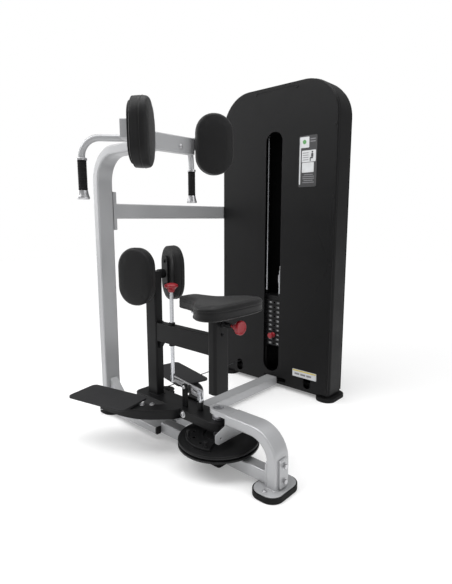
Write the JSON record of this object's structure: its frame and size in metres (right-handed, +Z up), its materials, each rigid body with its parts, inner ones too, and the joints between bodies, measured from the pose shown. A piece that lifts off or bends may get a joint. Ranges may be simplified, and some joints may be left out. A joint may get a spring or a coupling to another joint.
{
  "type": "rotary torso machine",
  "caption": "Seated rotary torso gym machine: swivelling saddle seat with knee pads and foot plates, chest pads on an arch, and a cable-driven pin-loaded weight tower.",
  "frame": {"origin": "on the floor under the swivel axis of the seat carriage", "axes": "+Z up along the swivel axis; -X is the way the seated user faces, towards the upright; the weight tower stands on the +Y side"},
  "size_m": [1.116, 1.2655, 1.619],
  "materials": {
    "frame_silver": "satin silver powder coat",
    "frame_black": "satin black powder coat",
    "panel_black": "fine-texture black powder coat",
    "steel": "turned and ground",
    "chrome": "polished",
    "zinc": "zinc plated",
    "iron": "black enamel",
    "upholstery": "fine-grain black vinyl",
    "board": "moulded",
    "rubber": "matt",
    "plastic_black": "fine spark texture",
    "plastic_red": "semi-gloss",
    "label": "printed film, no lettering",
    "cable_coat": "nylon coating"
  },
  "bodies": {
    "frame": {"upright_arch": "frame_silver", "chest_crossbar": "frame_silver", "base_rail": "frame_silver", "base_box": "frame_silver", "box_end_cap": "plastic_black", "rear_elbow": "frame_silver", "pivot_ring": "frame_silver", "swivel_shaft": "steel", "bolt_flanges": "frame_silver", "cross_beam": "frame_silver", "foot_plates_steel": "frame_silver", "rubber_feet": "rubber", "chest_pad_left": "upholstery", "chest_pad_right": "upholstery", "chest_pad_boards": "board", "handlebars": "frame_silver", "hand_grips": "rubber", "grip_caps": "zinc", "tower_front_panel": "panel_black", "tower_side_frame": "panel_black", "tower_rear_panel": "panel_black", "tower_subframe": "frame_black", "guide_rods": "chrome", "stack_buffers": "rubber", "plates_resting": "iron", "panel_screws": "plastic_black", "tower_placards": "label", "pulley_brackets": "frame_black", "frame_bolts": "zinc", "cable_run": "cable_coat"},
    "cam": {"cam_disc": "frame_black", "disc_bearing": "steel"},
    "carriage": {"carriage_arm": "frame_black", "arm_bearing": "steel", "foot_arms": "frame_black", "foot_boards": "frame_black", "knee_column": "frame_black", "seat_beam": "frame_black", "seat_post": "frame_black", "guide_bushes": "plastic_black", "knee_pad_left": "upholstery", "knee_pad_right": "upholstery", "lever_post": "frame_black", "carriage_bolts": "zinc"},
    "stack": {"plates_lifted": "iron", "top_plate": "iron", "selector_stem": "chrome", "stack_cable": "cable_coat"},
    "pin": {"selector_pin": "plastic_red"},
    "seat": {"seat_stem": "chrome", "seat_pad": "upholstery"},
    "knob": {"seat_knob": "plastic_red"},
    "rod": {"release_rod": "chrome", "release_knob": "plastic_red"},
    "lever": {"release_lever": "zinc"},
    "plunger": {"index_plunger": "chrome"},
    "redirect_wheel": {"redirect_pulley": "plastic_black"},
    "lower_wheel": {"lower_pulley": "plastic_black"},
    "outer_wheel": {"top_pulley_outer": "plastic_black"},
    "inner_wheel": {"top_pulley_inner": "plastic_black"}
  },
  "joints": [
    {"name": "cam_turn", "type": "hinge", "parent": "frame", "child": "cam", "pos_m": [0, 0, 0.098], "axis": [0, 0, 1], "range_deg": [-60, 0]},
    {"name": "start_position", "type": "hinge", "parent": "cam", "child": "carriage", "pos_m": [0, 0, 0.175], "axis": [0, 0, 1], "range_deg": [-30, 30]},
    {"name": "stack_lift", "type": "slide", "parent": "frame", "child": "stack", "axis": [0, 0, 1], "range_m": [0, 0.16], "deforming": ["stack_cable"]},
    {"name": "pin_pull", "type": "slide", "parent": "stack", "child": "pin", "axis": [0, -1, 0], "range_m": [0, 0.07]},
    {"name": "seat_height", "type": "slide", "parent": "carriage", "child": "seat", "axis": [0, 0, 1], "range_m": [0, 0.12]},
    {"name": "seat_knob_pull", "type": "slide", "parent": "carriage", "child": "knob", "axis": [1, 0, 0], "range_m": [-0.006, 0.008]},
    {"name": "release_press", "type": "slide", "parent": "carriage", "child": "rod", "axis": [0, 0, 1], "range_m": [-0.012, 0.008]},
    {"name": "lever_tilt", "type": "hinge", "parent": "carriage", "child": "lever", "pos_m": [-0.17, 0, 0.272], "axis": [0, 1, 0], "range_deg": [-7.6, 5.2]},
    {"name": "plunger_lift", "type": "slide", "parent": "carriage", "child": "plunger", "axis": [0, 0, 1], "range_m": [-0.0065, 0.0095]},
    {"name": "redirect_spin", "type": "hinge", "parent": "frame", "child": "redirect_wheel", "pos_m": [-0.534, 0.187, 0.098], "axis": [0, 0, 1], "range_deg": [0, 236]},
    {"name": "lower_spin", "type": "hinge", "parent": "frame", "child": "lower_wheel", "pos_m": [-0.572, 0.8415, 0.1265], "axis": [1, 0, 0], "range_deg": [-314, 0]},
    {"name": "outer_spin", "type": "hinge", "parent": "frame", "child": "outer_wheel", "pos_m": [-0.5345, 0.87, 1.5], "axis": [0, 1, 0], "range_deg": [-239, 0]},
    {"name": "inner_spin", "type": "hinge", "parent": "frame", "child": "inner_wheel", "pos_m": [-0.3775, 0.87, 1.5], "axis": [0, 1, 0], "range_deg": [-239, 0]}
  ],
  "couplings": [
    {"joint": "stack_lift", "follows": "cam_turn", "m_per_rad": -0.149},
    {"joint": "redirect_spin", "follows": "cam_turn", "ratio": -3.9211},
    {"joint": "lower_spin", "follows": "cam_turn", "ratio": 5.2281},
    {"joint": "outer_spin", "follows": "cam_turn", "ratio": 3.9733},
    {"joint": "inner_spin", "follows": "cam_turn", "ratio": 3.9733},
    {"joint": "lever_tilt", "follows": "release_press", "rad_per_m": 10.87},
    {"joint": "plunger_lift", "follows": "release_press", "ratio": -0.77}
  ]
}
